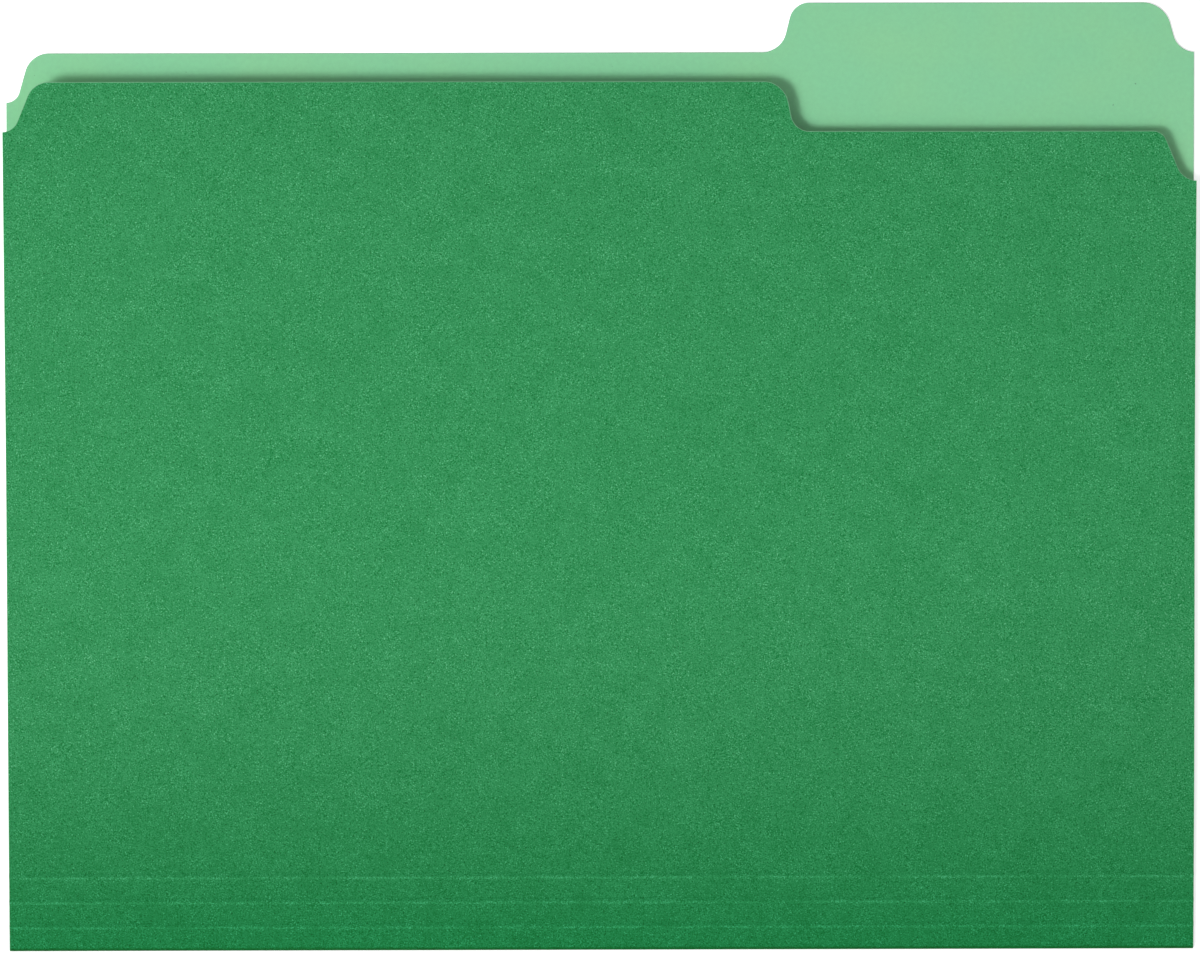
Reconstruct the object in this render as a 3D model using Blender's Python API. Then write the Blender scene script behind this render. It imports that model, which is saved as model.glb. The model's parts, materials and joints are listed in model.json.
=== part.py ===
"""Letter-size file folder of two-tone board, one-third cut with the index tab at the right.

The folder lies on its back leaf, +X to the right along the bottom fold, +Y towards the tab, +Z up.
The origin is the middle of its footprint, on the surface that it lies on. Lengths are in metres.
Along a leaf, heights are measured from the line where the two leaves would end in a square fold.
"""

from math import cos, pi, radians, sin

import bmesh
import bpy

# The sheet
WIDTH = 0.29845
THICKNESS = 0.0003
LEAF_GAP = 0.0006
REST_LIFT = radians(1.34)

# The leaves
BACK_HEIGHT = 0.2253
FRONT_HEIGHT = 0.2175

# The die-cut shoulders: two arcs joined by a straight line that leans. Each is given by its foot,
# from the left edge of the sheet, the radii of its hollow and of its crown, and its lean
SHOULDER_RISE = 0.0124
SHOULDER_STEPS = 6
BACK_LEFT = (0.0, 0.0034, 0.0059, radians(74))
TAB_LEFT = (0.1900, 0.0060, 0.0047, radians(76))
TAB_RIGHT = (WIDTH, 0.0053, 0.0069, radians(74.5))
FRONT_LEFT = (0.0, 0.0040, 0.0053, radians(67.5))
FRONT_STEP = (0.2013, 0.0045, 0.0062, radians(78.5))
FRONT_CORNER = (WIDTH, 0.0051, 0.0035, radians(67))

# The main fold and the score lines
FOLD_RADIUS = (LEAF_GAP + THICKNESS) / 2
FOLD_HALF_ANGLE = radians(60)
FOLD_STEPS = 8
FOLD_CLEARANCE = 0.00035
FIRST_SCORE = 0.0057
SCORE_SPACING = 0.0063
SCORE_COUNT = 3
BEAD_WIDTH = 0.0006
BEAD_RADIUS = 0.0005
BEAD_STEPS = 4
CREASE_GAP = 0.0003

# Colours of the board, linear
DARK_GREEN = (0.026, 0.285, 0.092)
LIGHT_GREEN = (0.235, 0.585, 0.330)
BOARD_ROUGHNESS = 0.62

TAB_TOP = BACK_HEIGHT + SHOULDER_RISE
FOLD_OUTER = FOLD_RADIUS + THICKNESS / 2
FOOTPRINT_MIDDLE = (TAB_TOP - FOLD_OUTER) / 2
FOLD_AXIS_HEIGHT = THICKNESS / 2 + FOLD_RADIUS
CREASE_HALF = BEAD_WIDTH / 2 + CREASE_GAP


def clear_scene():
    for old in list(bpy.data.objects):
        bpy.data.objects.remove(old, do_unlink=True)


def board_material(name, colour):
    material = bpy.data.materials.new(name)
    material.use_nodes = True
    shader = material.node_tree.nodes["Principled BSDF"]
    shader.inputs["Base Color"].default_value = (*colour, 1.0)
    shader.inputs["Roughness"].default_value = BOARD_ROUGHNESS
    shader.inputs["Metallic"].default_value = 0.0
    return material


def pivot(name, parent, location, turn=0.0):
    """An empty on a crease line, turned about the line by turn."""
    empty = bpy.data.objects.new(name, None)
    empty.empty_display_size = 0.01
    bpy.context.collection.objects.link(empty)
    empty.parent = parent
    empty.location = location
    empty.rotation_euler = (turn, 0.0, 0.0)
    return empty


def shoulder(cut, foot_y, side):
    """Points up one S-shaped shoulder, from its hollow foot to its round top.

    side is 1 where the edge climbs towards +X and -1 where it climbs towards -X.
    """
    foot_x, hollow_radius, crown_radius, lean = cut
    both = hollow_radius + crown_radius
    straight = (SHOULDER_RISE - both * (1 - cos(lean))) / sin(lean)
    run = both * sin(lean) + straight * cos(lean)
    arc = [lean * i / SHOULDER_STEPS for i in range(SHOULDER_STEPS + 1)]
    hollow = [(hollow_radius * sin(a), hollow_radius * (1 - cos(a))) for a in arc]
    crown = [(crown_radius * sin(a), crown_radius * (1 - cos(a))) for a in reversed(arc)]
    points = hollow + [(run - u, SHOULDER_RISE - v) for u, v in crown]
    return [(foot_x + side * u, foot_y + v) for u, v in points]


def back_outline(bottom):
    """The back leaf, anticlockwise from its lower left corner."""
    points = [(0.0, bottom), (WIDTH, bottom)]
    points += shoulder(TAB_RIGHT, BACK_HEIGHT, -1)
    points += reversed(shoulder(TAB_LEFT, BACK_HEIGHT, 1))
    points += reversed(shoulder(BACK_LEFT, BACK_HEIGHT - SHOULDER_RISE, 1))
    return points


def front_outline(bottom):
    """The front leaf above the score lines: two steps down to the right, one to the left."""
    step_height = FRONT_HEIGHT - SHOULDER_RISE
    points = [(0.0, bottom), (WIDTH, bottom)]
    points += shoulder(FRONT_CORNER, step_height - SHOULDER_RISE, -1)
    points += shoulder(FRONT_STEP, step_height, -1)
    points += reversed(shoulder(FRONT_LEFT, step_height, 1))
    return points


def add_node(name, mesh, parent, location, material):
    mesh.materials.append(material)
    node = bpy.data.objects.new(name, mesh)
    bpy.context.collection.objects.link(node)
    node.parent = parent
    node.location = location
    return node


def flat_piece(name, outline, origin, parent, location, material):
    """A flat piece of board. origin is the (y, z) of the node's origin, seen from the outline's mid-plane."""
    shape = bmesh.new()
    low = -THICKNESS / 2 - origin[1]
    corners = [shape.verts.new((x - WIDTH / 2, y - origin[0], low)) for x, y in outline]
    face = shape.faces.new(corners)
    raised = bmesh.ops.extrude_face_region(shape, geom=[face])["geom"]
    top = [v for v in raised if isinstance(v, bmesh.types.BMVert)]
    bmesh.ops.translate(shape, verts=top, vec=(0.0, 0.0, THICKNESS))
    bmesh.ops.recalc_face_normals(shape, faces=shape.faces)
    mesh = bpy.data.meshes.new(name)
    shape.to_mesh(mesh)
    shape.free()
    return add_node(name, mesh, parent, location, material)


def strip_outline(low, high):
    return [(0.0, low), (WIDTH, low), (WIDTH, high), (0.0, high)]


def arched_piece(name, radius, half_angle, steps, facing, parent, material, turn=0.0):
    """A narrow arched strip of board, as wide as the sheet, with its origin on the arch's crown.

    facing is the angle, in the plane across the sheet, that the crown points to from +Y towards +Z.
    """
    angles = [facing - half_angle + 2 * half_angle * i / steps for i in range(steps + 1)]
    outer = [(a, radius + THICKNESS / 2) for a in angles]
    inner = [(a, radius - THICKNESS / 2) for a in reversed(angles)]
    crown = (radius * cos(facing), radius * sin(facing))
    shape = bmesh.new()
    section = [
        shape.verts.new((-WIDTH / 2, r * cos(a) - crown[0], r * sin(a) - crown[1]))
        for a, r in outer + inner
    ]
    face = shape.faces.new(section)
    raised = bmesh.ops.extrude_face_region(shape, geom=[face])["geom"]
    far_end = [v for v in raised if isinstance(v, bmesh.types.BMVert)]
    bmesh.ops.translate(shape, verts=far_end, vec=(WIDTH, 0.0, 0.0))
    bmesh.ops.recalc_face_normals(shape, faces=shape.faces)
    mesh = bpy.data.meshes.new(name)
    shape.to_mesh(mesh)
    shape.free()
    mesh.shade_smooth()
    mesh.set_sharp_from_angle(angle=radians(40))
    node = add_node(name, mesh, parent, (0.0, 0.0, 0.0), material)
    node.rotation_euler = (turn, 0.0, 0.0)
    return node


def build_back(folder, light):
    """The back leaf lies flat, with its outer face on the surface below."""
    mid_plane = (0.0, 0.0, THICKNESS / 2)
    flat_piece("back_panel", back_outline(FOLD_CLEARANCE), (0.0, 0.0), folder, mid_plane, light)


def build_fold(folder, dark):
    """The fold's nose, and the pivot on its crown that the whole front leaf turns about."""
    crown = (0.0, -FOLD_RADIUS, FOLD_AXIS_HEIGHT)
    fold_line = pivot("fold_line", folder, crown)
    arched_piece("bottom_fold", FOLD_RADIUS, FOLD_HALF_ANGLE, FOLD_STEPS, pi, fold_line, dark, REST_LIFT / 2)
    return pivot("front_leaf", fold_line, (0.0, 0.0, 0.0), REST_LIFT)


def build_front(front_leaf, dark):
    """The scored strips and the front panel, each with its origin on the crease that it turns about."""
    end = FIRST_SCORE - CREASE_HALF
    from_fold = (-FOLD_RADIUS, -FOLD_RADIUS)
    outline = strip_outline(FOLD_CLEARANCE, end)
    strip = flat_piece("score_strip_1", outline, from_fold, front_leaf, (0.0, 0.0, 0.0), dark)
    crease_place = (0.0, FIRST_SCORE + FOLD_RADIUS, FOLD_RADIUS)
    bead_half_angle = BEAD_WIDTH / 2 / BEAD_RADIUS
    for number in range(1, SCORE_COUNT + 1):
        score_line = pivot(f"score_line_{number}", strip, crease_place)
        bead_name = f"score_crease_{number}"
        arched_piece(bead_name, BEAD_RADIUS, bead_half_angle, BEAD_STEPS, pi / 2, score_line, dark)
        if number < SCORE_COUNT:
            outline = strip_outline(CREASE_HALF, SCORE_SPACING - CREASE_HALF)
            name = f"score_strip_{number + 1}"
            strip = flat_piece(name, outline, (0.0, 0.0), score_line, (0.0, 0.0, 0.0), dark)
            crease_place = (0.0, SCORE_SPACING, 0.0)
    last_score = FIRST_SCORE + (SCORE_COUNT - 1) * SCORE_SPACING
    outline = front_outline(last_score + CREASE_HALF)
    flat_piece("front_panel", outline, (last_score, 0.0), score_line, (0.0, 0.0, 0.0), dark)


clear_scene()
dark_board = board_material("dark_green_board", DARK_GREEN)
light_board = board_material("light_green_board", LIGHT_GREEN)
folder_root = pivot("folder", None, (0.0, -FOOTPRINT_MIDDLE, 0.0))
build_back(folder_root, light_board)
build_front(build_fold(folder_root, dark_board), dark_board)
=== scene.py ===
import json
from math import atan, atan2, cos, pi, radians, sin, tan

import bmesh
import bpy
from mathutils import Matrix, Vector


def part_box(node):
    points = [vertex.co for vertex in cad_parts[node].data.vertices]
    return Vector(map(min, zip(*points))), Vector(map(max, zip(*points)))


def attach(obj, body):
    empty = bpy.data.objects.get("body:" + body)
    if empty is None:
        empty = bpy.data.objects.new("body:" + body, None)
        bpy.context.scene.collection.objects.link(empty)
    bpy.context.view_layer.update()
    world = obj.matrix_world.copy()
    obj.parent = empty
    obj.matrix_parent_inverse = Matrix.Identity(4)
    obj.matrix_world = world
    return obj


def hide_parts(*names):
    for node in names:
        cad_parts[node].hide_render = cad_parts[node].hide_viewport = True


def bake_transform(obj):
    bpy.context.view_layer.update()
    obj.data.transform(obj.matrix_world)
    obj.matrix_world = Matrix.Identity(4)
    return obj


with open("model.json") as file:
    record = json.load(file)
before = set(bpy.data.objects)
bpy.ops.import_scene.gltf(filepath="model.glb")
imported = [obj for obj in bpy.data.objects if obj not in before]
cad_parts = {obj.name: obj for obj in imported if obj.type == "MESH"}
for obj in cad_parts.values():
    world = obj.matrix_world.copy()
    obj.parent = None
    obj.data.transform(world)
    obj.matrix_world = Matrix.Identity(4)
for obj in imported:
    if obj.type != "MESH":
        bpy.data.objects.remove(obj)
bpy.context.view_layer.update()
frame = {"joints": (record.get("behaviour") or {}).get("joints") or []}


# The back leaf. It is one end of a single die-cut sheet of folder board, dark green outside and
# light green inside, and it lies on its dark face. The index tab is part of it, cut with the
# same S-shaped shoulders as every other step in the sheet's edge.

back_low, back_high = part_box("back_panel")
left_edge = back_low.x
right_edge = back_high.x
WIDTH = right_edge - left_edge
joints = {joint["name"]: joint for joint in frame["joints"]}
fold_axis = Vector(joints["front_open"]["pos_m"])
board = back_high.z - back_low.z
fold_radius = fold_axis.z - board / 2
fold_end = fold_axis.y + fold_radius
FOLD_RUN = 0.0004
back_start = fold_end + FOLD_RUN

# Each cut is its foot from the left edge, the radii of its hollow and of its crown, and its slope.
BACK_LEFT = (0.0, 0.0034, 0.0059, radians(74))
TAB_LEFT = (0.1900, 0.0060, 0.0047, radians(76))
TAB_RIGHT = (WIDTH, 0.0053, 0.0069, radians(74.5))
LEFT_SIDE = (0.0, 0.0, 0.0, radians(90))
RIGHT_SIDE = (WIDTH, 0.0, 0.0, radians(90))
SHOULDER_RISE = 0.0124
SHOULDER_SEGMENTS = 10

BACK_CURL = 0.0005
BACK_CURL_REACH = 0.11
GRID = 0.009
EDGE_ROUND = 0.00013
EDGE_SEGMENTS = 2
SMOOTH_BELOW = radians(20)
STRAIGHT_ABOVE = radians(179)
SAME_PLACE = 1e-6

OUTSIDE_DARK = (0.000, 0.208, 0.043, 1.0)
OUTSIDE_LIGHT = (0.056, 0.390, 0.147, 1.0)
OUTSIDE_ROUGH = 0.70
OUTSIDE_GLOSS = 0.3
FLECK_DARK = (0.000, 0.150, 0.028, 1.0)
FLECK_PALE = (0.150, 0.540, 0.270, 1.0)
# Painted shade: the outside board's colour is multiplied by this towards the fold, most at the fold.
FOLD_PAINTED_SHADE = (0.30, 0.97, 0.78, 1.0)
FOLD_PAINTED_SHADE_REACH = 0.080
INSIDE_WARM = (0.277, 0.680, 0.360, 1.0)
INSIDE_COOL = (0.257, 0.672, 0.370, 1.0)
INSIDE_ROUGH = 0.70
CUT_GREEN = (0.190, 0.510, 0.280, 1.0)
CUT_PALE = (0.330, 0.660, 0.420, 1.0)
CUT_ROUGH = 0.95

# How many of each pattern's clouds go to the metre.
FIBRE_SCALE = 3000.0
FLECK_SCALE = 3100.0
PATCH_SCALE = 200.0
MOTTLE_SCALE = 130.0
INSIDE_MOTTLE_SCALE = 900.0
INSIDE_DRIFT_SCALE = 45.0
STRAY_FIBRE_SCALE = 620.0
CORE_SCALE = 4000.0
NOISE_TURN = (0.61, 0.47, 0.33)
NOISE_SHIFT = (0.7, 0.5, 0.4)

# How strongly each pattern shows in the colour, and how deep it is in the surface.
MIDDLE_GREEN = 0.5
FIBRE_CONTRAST = 1.6
PATCH_CONTRAST = 3.2
MOTTLE_CONTRAST = 0.40
PATCH_FLECKS = 0.15
# How much of the painted highlight or shade also shows in the flecks.
PAINTED_LIGHT_FLECKS = 0.25
INSIDE_MOTTLE_TONE = 0.14
STRAY_FIBRE_TONE = 0.5
FIBRE_DEPTH = 0.00003
INSIDE_DEPTH = 0.00002
CORE_DEPTH = 0.00003

# A Mix node's own sockets for colours, which share their names with those for numbers and vectors.
MIX_AMOUNT, MIX_FIRST, MIX_SECOND, MIX_RESULT = 0, 6, 7, 2


class Shade:
    """One output among a material's nodes, which Python's own operators work on."""

    def __init__(self, tree, output):
        self.tree = tree
        self.output = output

    def node(self, kind, settings, sockets, output=0):
        """Any other node: its settings are made first, and then its sockets are set or linked."""
        made = self.tree.nodes.new("ShaderNode" + kind)
        for setting, choice in settings.items():
            setattr(made, setting, choice)
        for socket, value in sockets.items():
            if isinstance(value, Shade):
                self.tree.links.new(value.output, made.inputs[socket])
            else:
                made.inputs[socket].default_value = value
        return Shade(self.tree, made.outputs[output])

    def __add__(self, other):
        return self.node("Math", {"operation": "ADD"}, {0: self, 1: other})

    def __sub__(self, other):
        return self.node("Math", {"operation": "SUBTRACT"}, {0: self, 1: other})

    def __rsub__(self, other):
        return self.node("Math", {"operation": "SUBTRACT"}, {0: other, 1: self})

    def __mul__(self, other):
        return self.node("Math", {"operation": "MULTIPLY"}, {0: self, 1: other})

    __radd__ = __add__
    __rmul__ = __mul__

    def into(self, socket):
        self.tree.links.new(self.output, socket)


def new_finish(name):
    """A material, its shader, and the place on the piece that its pattern is drawn by."""
    finish = bpy.data.materials.new(name)
    finish.use_nodes = True
    tree = finish.node_tree
    place = Shade(tree, tree.nodes.new("ShaderNodeTexCoord").outputs["Object"])
    return finish, tree.nodes["Principled BSDF"], place


def cloud(place, scale, detail=2.0, roughness=0.5):
    """Cloudy noise about 0. scale is in clouds to the metre.

    The turn keeps its cells from lining up with the sheet. The shift takes the sheet away from the
    noise's origin, around which clouds of two nearly equal scales would make rays.
    """
    mapping = {"Vector": place, "Location": NOISE_SHIFT, "Rotation": NOISE_TURN}
    turned = place.node("Mapping", {}, mapping)
    sockets = {"Vector": turned, "Scale": scale, "Detail": detail, "Roughness": roughness}
    return place.node("TexNoise", {}, sockets) - 0.5


def between(value, low, high):
    """0 at low, 1 at high, and smooth between them. Where low is the higher one, it rises downwards."""
    settings = {"interpolation_type": "SMOOTHSTEP"}
    return value.node("MapRange", settings, {"Value": value, "From Min": low, "From Max": high})


def blended(amount, first, second, way="MIX"):
    """first where amount is 0, and where it is 1 second, or first multiplied by it."""
    settings = {"data_type": "RGBA", "blend_type": way}
    sockets = {MIX_AMOUNT: amount, MIX_FIRST: first, MIX_SECOND: second}
    return amount.node("Mix", settings, sockets, MIX_RESULT)


def along(place):
    """How far along the sheet a place is, from the fold towards the tab."""
    return place.node("SeparateXYZ", {}, {"Vector": place}, "Y")


def toned(colour, tone):
    return colour.node("VectorMath", {"operation": "SCALE"}, {0: colour, "Scale": tone})


def raised(height, depth):
    return height.node("Bump", {}, {"Strength": 1.0, "Distance": depth, "Height": height})


def outside_finish(name, painted_light=None):
    """Dark green board: a calendered skin of darker and paler fibres, in denser and calmer patches.

    Single flecks lie among the fibres, and towards the fold the green is darkened by painted shade.
    painted_light, where there is any, is painted highlight or shade: how much paler the board is, or
    darker below 0.
    """
    finish, shader, place = new_finish(name)
    fibre = cloud(place, FIBRE_SCALE, detail=0.0)
    patch = cloud(place, PATCH_SCALE)
    mottle = cloud(place, MOTTLE_SCALE, detail=4.0, roughness=0.6)
    contrast = FIBRE_CONTRAST + patch * PATCH_CONTRAST
    grain = MIDDLE_GREEN + fibre * contrast + mottle * MOTTLE_CONTRAST
    flecks = cloud(place, FLECK_SCALE, detail=0.0) + patch * PATCH_FLECKS
    if painted_light:
        painted_tone = painted_light(place)
        grain = grain + painted_tone
        flecks = flecks + painted_tone * PAINTED_LIGHT_FLECKS
    skin = blended(grain, OUTSIDE_DARK, OUTSIDE_LIGHT)
    skin = blended(between(flecks, low=-0.17, high=-0.30), skin, FLECK_DARK)
    skin = blended(between(flecks, low=0.18, high=0.31), skin, FLECK_PALE)
    # Painted shade: the green is darkened towards the fold.
    far = fold_end + FOLD_PAINTED_SHADE_REACH
    to_fold = {"Value": along(place), "From Min": far, "From Max": fold_end}
    fold_shade_amount = place.node("MapRange", {}, to_fold)
    skin = blended(fold_shade_amount * fold_shade_amount, skin, FOLD_PAINTED_SHADE, "MULTIPLY")
    skin.into(shader.inputs["Base Color"])
    shader.inputs["Specular IOR Level"].default_value = OUTSIDE_GLOSS
    (OUTSIDE_ROUGH - fibre * 0.3).into(shader.inputs["Roughness"])
    raised(fibre + mottle * 0.5, FIBRE_DEPTH).into(shader.inputs["Normal"])
    return finish


def inside_finish():
    """Light green board: the smoother side, softly mottled, with a few stray dark fibres."""
    finish, shader, place = new_finish("inside_board")
    mottle = cloud(place, INSIDE_MOTTLE_SCALE, detail=3.0, roughness=0.55)
    drift = between(cloud(place, INSIDE_DRIFT_SCALE), low=-0.2, high=0.2)
    stray = between(cloud(place, STRAY_FIBRE_SCALE, detail=0.5), low=0.33, high=0.36)
    tone = 1.0 + mottle * INSIDE_MOTTLE_TONE - stray * STRAY_FIBRE_TONE
    toned(blended(drift, INSIDE_WARM, INSIDE_COOL), tone).into(shader.inputs["Base Color"])
    (INSIDE_ROUGH + mottle * 0.2).into(shader.inputs["Roughness"])
    raised(mottle, INSIDE_DEPTH).into(shader.inputs["Normal"])
    return finish


def cut_finish():
    """The die-cut edge, where the board's core shows as fibres of a green between its two faces."""
    finish, shader, place = new_finish("cut_board")
    fibre = between(cloud(place, CORE_SCALE, detail=2.0, roughness=0.7), low=-0.2, high=0.2)
    blended(fibre, CUT_GREEN, CUT_PALE).into(shader.inputs["Base Color"])
    (CUT_ROUGH - fibre * 0.1).into(shader.inputs["Roughness"])
    raised(fibre, CORE_DEPTH).into(shader.inputs["Normal"])
    return finish


outside = outside_finish("outside_board")
inside = inside_finish()
cut = cut_finish()
CUT_SLOT = 2


def start_blank(name, low, high, level):
    """A flat blank of board, as wide as the sheet, from low to high along Y, left in edit mode."""
    bpy.ops.object.select_all(action="DESELECT")
    bpy.ops.mesh.primitive_plane_add(size=1.0)
    blank = bpy.context.object
    blank.name = name
    bpy.ops.object.mode_set(mode="EDIT")
    bpy.ops.transform.resize(value=(WIDTH, high - low, 1.0))
    middle = ((left_edge + right_edge) / 2, (low + high) / 2, level)
    bpy.ops.transform.translate(value=middle)
    return blank


def near(value, place):
    return abs(value - place) < SAME_PLACE


def pick(blank, kind, wanted):
    """Selects only the vertices, edges or faces that pass wanted."""
    bpy.ops.mesh.select_mode(type=kind)
    bpy.ops.mesh.select_all(action="DESELECT")
    mesh = bmesh.from_edit_mesh(blank.data)
    for item in {"VERT": mesh.verts, "EDGE": mesh.edges, "FACE": mesh.faces}[kind]:
        item.select_set(bool(wanted(item)))
    bmesh.update_edit_mesh(blank.data)


def cut_across(normal, places):
    """Cuts the whole blank through at each place along the normal."""
    for place in places:
        bpy.ops.mesh.select_all(action="SELECT")
        point = Vector(normal) * place
        bpy.ops.mesh.bisect(plane_co=point, plane_no=normal, threshold=SAME_PLACE)


def step_up(blank, base, left_cut, right_cut):
    """Extrudes the top edge between two cuts by one shoulder, and leans its sides in.

    It returns the corners that are left to round, each with how far its rounding goes along its sides.
    """
    corners = []
    ends = []
    for (foot, hollow, crown, slope), side in ((left_cut, 1), (right_cut, -1)):
        low = left_edge + foot + side * hollow * tan(slope / 2)
        shift = side * SHOULDER_RISE / tan(slope)
        ends.append((low, shift))
        corners.append((low, base, hollow * tan(slope / 2)))
        corners.append((low + shift, base + SHOULDER_RISE, crown * tan(slope / 2)))
    (left, _), (right, _) = ends
    cut_across((1.0, 0.0, 0.0), (left, right))

    def on_the_edge(vertex):
        return near(vertex.co.y, base) and left - SAME_PLACE < vertex.co.x < right + SAME_PLACE

    pick(blank, "EDGE", lambda edge: all(on_the_edge(vertex) for vertex in edge.verts))
    bpy.ops.mesh.extrude_region_move(TRANSFORM_OT_translate={"value": (0.0, SHOULDER_RISE, 0.0)})
    top = base + SHOULDER_RISE
    for end, shift in ends:
        pick(blank, "VERT", lambda vertex: near(vertex.co.y, top) and near(vertex.co.x, end))
        bpy.ops.transform.translate(value=(shift, 0.0, 0.0))
    return [corner for corner in corners if corner[2] > 0.0]


def straight(vertex):
    """True on a straight stretch of the outline, where no corner is."""
    if len(vertex.link_edges) != 2:
        return False
    before, after = (edge.other_vert(vertex).co - vertex.co for edge in vertex.link_edges)
    return before.angle(after) > STRAIGHT_ABOVE


def round_shoulders(blank, corners):
    """Joins the blank into one face and rounds its corners, so that its outline is the die's."""
    bpy.ops.mesh.select_all(action="SELECT")
    bpy.ops.mesh.normals_make_consistent(inside=False)
    bpy.ops.mesh.dissolve_faces()
    pick(blank, "VERT", straight)
    bpy.ops.mesh.dissolve_verts()
    for x, y, length in corners:
        pick(blank, "VERT", lambda vertex: near(vertex.co.x, x) and near(vertex.co.y, y))
        bpy.ops.mesh.bevel(
            offset=length,
            segments=SHOULDER_SEGMENTS,
            affect="VERTICES",
            clamp_overlap=False,
        )
    bpy.ops.mesh.select_all(action="SELECT")
    bpy.ops.mesh.remove_doubles(threshold=SAME_PLACE)


def cut_grid(low, high):
    """Cuts a leaf into a grid, so that it can curl and sag."""
    columns = round(WIDTH / GRID)
    rows = round((high - low) / GRID)
    cut_across((1.0, 0.0, 0.0), [left_edge + WIDTH * i / columns for i in range(1, columns)])
    cut_across((0.0, 1.0, 0.0), [low + (high - low) * i / rows for i in range(1, rows)])


def press(blank, wanted, depth, reach):
    """Moves the picked vertices up or down and lets the board around them follow."""
    pick(blank, "VERT", wanted)
    bpy.ops.transform.translate(
        value=(0.0, 0.0, depth),
        use_proportional_edit=True,
        proportional_edit_falloff="SMOOTH",
        proportional_size=reach,
    )


def thicken(blank, skins, seams):
    """Gives a sheet the board's thickness and finishes, and softens its cut edges but not its seams."""
    bpy.ops.object.mode_set(mode="OBJECT")
    for skin in skins:
        blank.data.materials.append(skin)
    wall = blank.modifiers.new("board", "SOLIDIFY")
    wall.thickness = board
    wall.offset = 0.0
    wall.material_offset = 1
    wall.material_offset_rim = CUT_SLOT
    bpy.ops.object.modifier_apply(modifier=wall.name)
    bpy.ops.object.mode_set(mode="EDIT")

    def cut_edge(edge):
        if any(all(near(vertex.co.y, seam) for vertex in edge.verts) for seam in seams):
            return False
        return sorted(face.material_index == CUT_SLOT for face in edge.link_faces) == [False, True]

    pick(blank, "EDGE", cut_edge)
    bpy.ops.mesh.bevel(
        offset=EDGE_ROUND,
        segments=EDGE_SEGMENTS,
        affect="EDGES",
        material=CUT_SLOT,
    )
    bpy.ops.object.mode_set(mode="OBJECT")
    bpy.ops.object.shade_smooth_by_angle(angle=SMOOTH_BELOW)


back_edge = back_high.y - SHOULDER_RISE
notch = back_edge - SHOULDER_RISE
back_leaf = start_blank("back_leaf", back_start, notch, board / 2)
back_corners = step_up(back_leaf, notch, BACK_LEFT, RIGHT_SIDE)
back_corners += step_up(back_leaf, back_edge, TAB_LEFT, TAB_RIGHT)
round_shoulders(back_leaf, back_corners)
cut_grid(back_start, back_high.y)
press(back_leaf, lambda vertex: near(vertex.co.y, back_high.y), BACK_CURL, BACK_CURL_REACH)
thicken(back_leaf, (inside, outside, cut), (back_start,))
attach(back_leaf, "back")
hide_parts("back_panel")


# The bottom fold. The same sheet turns through half a circle here, tightly pressed, with its dark
# face outwards. It is the hinge of the folder: the board itself bends as the front leaf opens.

FOLD_STEPS = 16
# How dark the painted shade on the nose of the fold is.
NOSE_PAINTED_SHADE = 0.75

score_1 = Vector(joints["score_1_bend"]["pos_m"])
score_3 = Vector(joints["score_3_bend"]["pos_m"])
rest_lift = atan2(score_3.z - score_1.z, score_3.y - score_1.y)


def lift(blank, wanted):
    """Turns the picked vertices about the fold, from parallel to the back up to the resting angle."""
    bpy.ops.object.mode_set(mode="EDIT")
    pick(blank, "VERT", wanted)
    bpy.ops.transform.rotate(value=-rest_lift, orient_axis="X", center_override=fold_axis)
    bpy.ops.object.mode_set(mode="OBJECT")


def painted_nose_shade(place):
    """Painted shade on the nose of the fold, darker where the sheet turns under."""
    return (between(along(place), fold_end - board / 2, back_start) - 1.0) * NOSE_PAINTED_SHADE


# The bend's finish is darkened with painted shade at its nose, and towards the fold.
bend_shaded_finish = outside_finish("bend_shaded_board", painted_nose_shade)
bottom_bend = start_blank("bottom_bend", fold_end, back_start, board / 2)
pick(bottom_bend, "EDGE", lambda edge: all(near(vertex.co.y, fold_end) for vertex in edge.verts))
fold_middle = (0.0, fold_end, fold_axis.z)
bpy.ops.mesh.spin(steps=FOLD_STEPS, angle=pi, center=fold_middle, axis=(1.0, 0.0, 0.0))
bpy.ops.mesh.extrude_region_move(TRANSFORM_OT_translate={"value": (0.0, FOLD_RUN, 0.0)})
bpy.ops.mesh.select_all(action="SELECT")
bpy.ops.mesh.remove_doubles(threshold=SAME_PLACE)
bpy.ops.mesh.normals_make_consistent(inside=False)
thicken(bottom_bend, (bend_shaded_finish, inside, cut), (back_start,))
lift(bottom_bend, lambda vertex: vertex.co.z > fold_axis.z)
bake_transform(bottom_bend)
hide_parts("bottom_fold")


# The three score lines and the strips between them. Each score is a bead pressed into the board from
# inside, so that the front can bend there and the bottom can be squared up as the folder fills.

SCORES = (1, 2, 3)
BODIES = ("strip_1", "strip_2", "strip_3", "front")
CREASE_HALF = 0.0012
CREASE_ROWS = 24
RIDGE_HEIGHT = 0.00016
RIDGE_REACH = 0.00105

# The painted highlight on the lower flank begins and ends this far below the line, and is broken up
# into dots and runs.
HIGHLIGHT_LOW = 0.00066
HIGHLIGHT_HIGH = 0.00024
HIGHLIGHT_EDGE = 0.00015
HIGHLIGHT_PALE = 0.65
HIGHLIGHT_DOT_SCALE = 2300.0
HIGHLIGHT_RUN_SCALE = 130.0
HIGHLIGHT_LEAST = 0.35

leaf_way = Vector((0.0, cos(rest_lift), sin(rest_lift)))
leaf_level = fold_axis.z + fold_radius


def everything(item):
    return True


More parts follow.
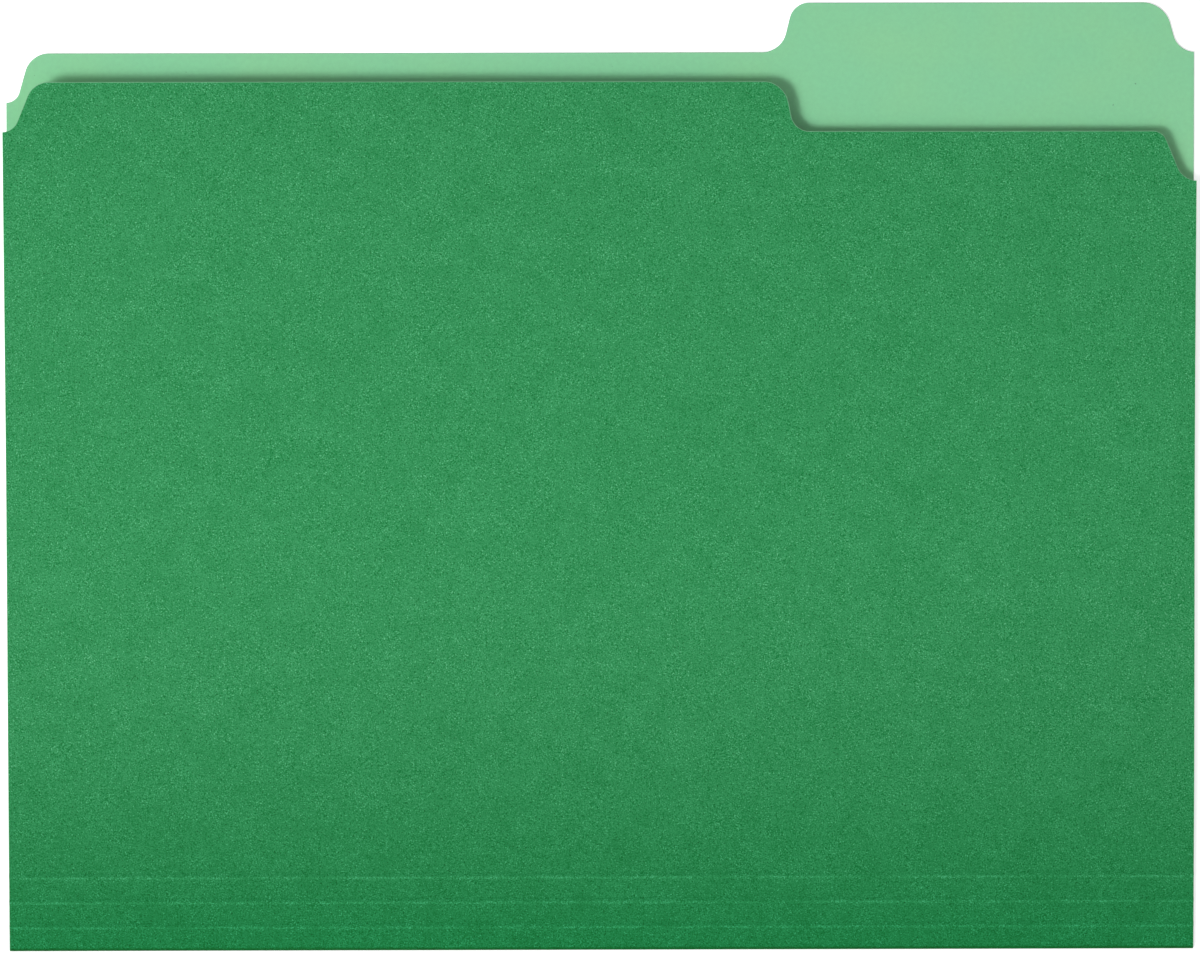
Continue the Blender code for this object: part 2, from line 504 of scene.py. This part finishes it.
def painted_score_highlights(place):
    """Painted highlight on the lower flank of each bead, paler here and there along its length."""
    y = along(place)
    flanks = []
    for number in SCORES:
        line = joints[f"score_{number}_bend"]["pos_m"][1]
        begun = between(y, line - HIGHLIGHT_LOW - HIGHLIGHT_EDGE, line - HIGHLIGHT_LOW)
        flanks.append(begun - between(y, line - HIGHLIGHT_HIGH, line - HIGHLIGHT_HIGH + HIGHLIGHT_EDGE))
    highlight_band = flanks[0] + flanks[1] + flanks[2]
    dots = between(cloud(place, HIGHLIGHT_DOT_SCALE, detail=1.0), low=-0.08, high=0.14)
    runs = between(cloud(place, HIGHLIGHT_RUN_SCALE), low=-0.15, high=0.15) + HIGHLIGHT_LEAST
    return highlight_band * dots * runs * HIGHLIGHT_PALE


# The creases' finish carries a painted highlight along the lower flank of each bead.
highlighted_crease_finish = outside_finish("score_highlight_board", painted_score_highlights)
strip_columns = [left_edge + GRID * i for i in range(1, round(WIDTH / GRID))]
strip_start = back_start
for number in SCORES:
    score = Vector(joints[f"score_{number}_bend"]["pos_m"])
    line = fold_axis.y + (score - fold_axis).dot(leaf_way)
    low = line - CREASE_HALF
    high = line + CREASE_HALF

    strip = start_blank(f"strip_board_{number}", strip_start, low, leaf_level)
    cut_across((1.0, 0.0, 0.0), strip_columns)
    thicken(strip, (outside, inside, cut), (strip_start, low))
    lift(strip, everything)
    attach(strip, BODIES[number - 1])
    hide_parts(f"score_strip_{number}")

    crease = start_blank(f"crease_board_{number}", low, high, leaf_level)
    crease_rows = [low + (high - low) * i / CREASE_ROWS for i in range(1, CREASE_ROWS)]
    cut_across((0.0, 1.0, 0.0), crease_rows)
    press(crease, lambda vertex: near(vertex.co.y, line), RIDGE_HEIGHT, RIDGE_REACH)
    thicken(crease, (highlighted_crease_finish, inside, cut), (low, high))
    lift(crease, everything)
    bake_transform(crease)
    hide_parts(f"score_crease_{number}")
    strip_start = high


# The front leaf. It is the other end of the sheet, shorter than the back and stepped down below the
# tab. The spring of the fold holds it a little open, with a slight hollow in its middle and its right
# end sagging. Nothing of it rises above its plane, so that it lies on the table when it is opened.

FRONT_LEFT = (0.0, 0.0040, 0.0053, radians(67.5))
FRONT_STEP = (0.2013, 0.0045, 0.0062, radians(78.5))
FRONT_CORNER = (WIDTH, 0.0051, 0.0035, radians(67))
FRONT_HOLLOW = -0.0007
FRONT_HOLLOW_REACH = 0.085
FRONT_SAG = -0.0012
FRONT_SAG_CORNER = 0.05
FRONT_SAG_REACH = 0.14

front_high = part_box("front_panel")[1]
front_top = Vector((0.0, front_high.y, front_high.z))
front_edge = fold_axis.y + (front_top - fold_axis).dot(leaf_way)
front_step = front_edge - SHOULDER_RISE
front_corner = front_step - SHOULDER_RISE
front_middle = (strip_start + front_edge) / 2
right_top = Vector((right_edge, front_edge))


def in_the_middle(vertex):
    return abs(vertex.co.y - front_middle) < GRID / 2


def at_the_right_corner(vertex):
    return (vertex.co.xy - right_top).length < FRONT_SAG_CORNER


front_leaf = start_blank("front_leaf", strip_start, front_corner, leaf_level)
front_corners = step_up(front_leaf, front_corner, LEFT_SIDE, FRONT_CORNER)
front_corners += step_up(front_leaf, front_step, FRONT_LEFT, FRONT_STEP)
round_shoulders(front_leaf, front_corners)
cut_grid(strip_start, front_edge)
press(front_leaf, in_the_middle, FRONT_HOLLOW, FRONT_HOLLOW_REACH)
press(front_leaf, at_the_right_corner, FRONT_SAG, FRONT_SAG_REACH)
thicken(front_leaf, (outside, inside, cut), (strip_start,))
lift(front_leaf, everything)
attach(front_leaf, "front")
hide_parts("front_panel")


# The studio: a white table top, two soft lamps and a camera straight above. The broad lamp shines from
# the lower left, and is turned so that its light falls off towards the upper right. The near lamp
# shines the same way, on the folder above its score lines.

FLOOR_DROP = 0.0001
FLOOR_SIZE = 6.0
FLOOR_WHITE = (0.80, 0.80, 0.80, 1.0)
FLOOR_ROUGH = 0.9
FLOOR_GLOW = 0.60
WORLD_WHITE = (1.0, 1.0, 1.0, 1.0)
WORLD_FILL = 0.40
LAMP_TILT_X = radians(30)
LAMP_TILT_Y = radians(22)
CAMERA_PLACE = (-0.00368, 0.01261, 0.800)
CAMERA_TURN = (radians(-0.887), radians(-0.243), radians(-0.109))
CAMERA_LENS = 95.30

bpy.ops.object.select_all(action="DESELECT")
bpy.ops.mesh.primitive_plane_add(size=FLOOR_SIZE, location=(0.0, 0.0, -FLOOR_DROP))
floor = bpy.context.object
floor.name = "table_top"
white, floor_shader, floor_place = new_finish("white_table")
floor_shader.inputs["Base Color"].default_value = FLOOR_WHITE
floor_shader.inputs["Roughness"].default_value = FLOOR_ROUGH
floor_shader.inputs["Emission Strength"].default_value = 1.0
seen = floor_place.node("LightPath", {}, {}, "Is Camera Ray")
(seen * FLOOR_GLOW).into(floor_shader.inputs["Emission Color"])
floor.data.materials.append(white)

world = bpy.data.worlds.new("studio")
bpy.context.scene.world = world
world.use_nodes = True
background = world.node_tree.nodes["Background"]
sky = Shade(world.node_tree, background.outputs[0]).node("LightPath", {}, {}, "Is Camera Ray")
(sky * (1.0 - WORLD_FILL) + WORLD_FILL).into(background.inputs["Strength"])
background.inputs["Color"].default_value = WORLD_WHITE
world.cycles_visibility.glossy = False

lamp_way = Vector((tan(LAMP_TILT_X), tan(LAMP_TILT_Y), -1.0))
lamp_lean = -atan(tan(LAMP_TILT_X) * cos(LAMP_TILT_Y))


def soft_lamp(name, over, height, size_x, size_y, turn, spread, watts):
    """A rectangular lamp that shines slantwise on the place it is over, turned about its beam."""
    bpy.ops.object.light_add(type="AREA", location=Vector(over) - lamp_way * height)
    lamp = bpy.context.object
    lamp.name = name
    lamp.rotation_mode = "ZYX"
    lamp.rotation_euler = (LAMP_TILT_Y, lamp_lean, turn)
    lamp.data.shape = "RECTANGLE"
    lamp.data.size = size_x
    lamp.data.size_y = size_y
    lamp.data.spread = spread
    lamp.data.energy = watts
    lamp.visible_camera = False
    return lamp


broad_lamp = soft_lamp(
    "broad_lamp",
    over=(-0.40, -0.04, 0.0),
    height=1.4,
    size_x=0.84,
    size_y=2.00,
    turn=radians(45),
    spread=radians(42),
    watts=2.36,
)
broad_lamp.visible_glossy = False
soft_lamp(
    "near_lamp",
    over=(-0.01, 0.122, 0.0),
    height=0.42,
    size_x=0.60,
    size_y=0.38,
    turn=0.0,
    spread=radians(20),
    watts=0.276,
)

bpy.ops.object.camera_add(location=CAMERA_PLACE)
camera = bpy.context.object
camera.rotation_mode = "ZYX"
camera.rotation_euler = CAMERA_TURN
camera.data.lens = CAMERA_LENS
bpy.context.scene.camera = camera
bpy.context.scene.view_settings.view_transform = "Standard"
